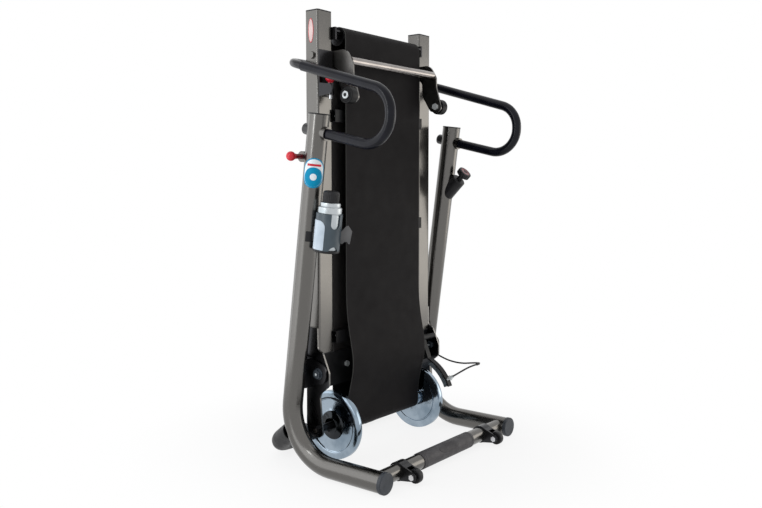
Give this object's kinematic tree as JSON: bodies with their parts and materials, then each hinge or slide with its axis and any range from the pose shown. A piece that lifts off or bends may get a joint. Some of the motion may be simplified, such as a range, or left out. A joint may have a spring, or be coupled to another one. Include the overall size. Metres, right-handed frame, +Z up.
{
  "type": "folding treadmill",
  "caption": "Folding manual treadmill with bent tube frame, belt deck folded upright, chrome flywheels, magnetic brake, incline leg, looped handlebar and bottle holder",
  "frame": {"origin": "on the floor, at mid-width, below the underside face of the folded deck's rails", "axes": "+X to the user's right, +Y forward (away from the picture's viewer), +Z up"},
  "size_m": [0.6337, 0.4624, 1.12],
  "materials": {
    "frame_paint": "glossy metallic gunmetal paint",
    "black_paint": "satin black paint",
    "black_plastic": "moulded black plastic",
    "grey_rubber": "dark grey rubber",
    "foam_grip": "blue-black soft grip",
    "belt_rubber": "near-black woven belt",
    "board_wood": "dark laminated board",
    "chrome": "polished chrome",
    "steel": "zinc plated steel",
    "red_plastic": "glossy red plastic",
    "bottle_plastic": "grey plastic bottle",
    "cage_plastic": "grey plastic",
    "magnet": "dark sintered magnet",
    "cable_sheath": "black cable sheath"
  },
  "bodies": {
    "base": {"upright_left": "frame_paint", "upright_right": "frame_paint", "upright_top_caps": "black_plastic", "rubber_feet": "grey_rubber", "rear_crossbar": "frame_paint", "step_sleeve": "grey_rubber", "front_stabiliser": "frame_paint", "handlebar": "black_paint", "grips": "foam_grip", "handle_sockets": "frame_paint", "handle_plugs": "black_plastic", "pivot_brackets": "frame_paint", "pivot_bolts": "steel", "transport_brackets": "black_plastic", "transport_bolts": "steel", "lock_housing": "steel", "tension_housing": "frame_paint", "cable_grommet": "black_plastic", "brake_cable": "cable_sheath", "bottle_clamp": "cage_plastic", "bottle_cage": "cage_plastic"},
    "deck": {"rail_left": "frame_paint", "rail_right": "frame_paint", "rail_end_caps": "black_plastic", "side_plate_left": "frame_paint", "side_plate_right": "frame_paint", "running_board": "board_wood", "cross_members": "black_paint", "board_screws": "steel", "running_belt": "belt_rubber", "front_axle": "steel", "axle_nuts": "steel", "rear_axle": "steel", "rear_roller_brackets": "black_paint", "belt_adjusters": "steel", "incline_bracket": "black_paint", "leg_pivot_bolts": "steel", "brake_stud": "steel"},
    "front_roller": {"front_roller_tube": "steel", "front_bearings": "steel", "flywheel_left": "chrome", "flywheel_right": "chrome"},
    "rear_roller": {"rear_roller_tube": "steel", "rear_bearings": "steel"},
    "incline_leg": {"leg_plates": "black_paint", "leg_rod": "steel", "leg_wheel_bolts": "steel"},
    "leg_wheel_left": {"leg_wheel_left": "black_plastic"},
    "leg_wheel_right": {"leg_wheel_right": "black_plastic"},
    "transport_wheel_left": {"transport_wheel_left": "black_plastic"},
    "transport_wheel_right": {"transport_wheel_right": "black_plastic"},
    "lock_pin": {"lock_pin": "red_plastic"},
    "incline_pin": {"incline_pin": "red_plastic"},
    "tension_knob": {"tension_knob": "black_plastic"},
    "brake_arm": {"brake_arm": "black_paint", "brake_magnets": "magnet", "cable_adjuster": "steel"},
    "bottle": {"bottle": "bottle_plastic", "bottle_cap": "black_plastic"}
  },
  "joints": [
    {"name": "deck_fold", "type": "hinge", "parent": "base", "child": "deck", "pos_m": [0, -0.006, 0.238], "axis": [1, 0, 0], "range_deg": [0, 99], "deforming": ["brake_cable"]},
    {"name": "front_roller_spin", "type": "hinge", "parent": "deck", "child": "front_roller", "pos_m": [0, 0.004, 0.094], "axis": [1, 0, 0], "continuous": true},
    {"name": "rear_roller_spin", "type": "hinge", "parent": "deck", "child": "rear_roller", "pos_m": [0, 0.004, 1.064], "axis": [1, 0, 0], "continuous": true},
    {"name": "incline_swing", "type": "hinge", "parent": "deck", "child": "incline_leg", "pos_m": [0, 0.018, 1.012], "axis": [-1, 0, 0], "range_deg": [0, 35]},
    {"name": "leg_wheel_left_spin", "type": "hinge", "parent": "incline_leg", "child": "leg_wheel_left", "pos_m": [-0.192, -0.062, 0.915], "axis": [1, 0, 0], "continuous": true},
    {"name": "leg_wheel_right_spin", "type": "hinge", "parent": "incline_leg", "child": "leg_wheel_right", "pos_m": [0.192, -0.062, 0.915], "axis": [1, 0, 0], "continuous": true},
    {"name": "transport_wheel_left_spin", "type": "hinge", "parent": "base", "child": "transport_wheel_left", "pos_m": [-0.186, -0.259, 0.021], "axis": [1, 0, 0], "continuous": true},
    {"name": "transport_wheel_right_spin", "type": "hinge", "parent": "base", "child": "transport_wheel_right", "pos_m": [0.186, -0.259, 0.021], "axis": [1, 0, 0], "continuous": true},
    {"name": "lock_pin_slide", "type": "slide", "parent": "base", "child": "lock_pin", "axis": [1, 0, 0], "range_m": [0, 0.012]},
    {"name": "incline_pin_slide", "type": "slide", "parent": "deck", "child": "incline_pin", "axis": [0, 0, 1], "range_m": [0, 0.012], "stiffness_N_per_m": 150, "springref_m": -0.01},
    {"name": "tension_turn", "type": "hinge", "parent": "base", "child": "tension_knob", "pos_m": [0.28, -0.072, 0.717], "axis": [0, -0.7071, 0.7071], "range_deg": [0, 270]},
    {"name": "brake_swing", "type": "hinge", "parent": "deck", "child": "brake_arm", "pos_m": [0.178, -0.017, 0.267], "axis": [1, 0, 0], "range_deg": [0, 7]},
    {"name": "bottle_lift", "type": "slide", "parent": "base", "child": "bottle", "axis": [0, -0.1326, 0.9912], "range_m": [0, 0.095]}
  ],
  "couplings": [
    {"joint": "rear_roller_spin", "follows": "front_roller_spin", "ratio": 1},
    {"joint": "brake_swing", "follows": "tension_turn", "ratio": 0.025925}
  ]
}
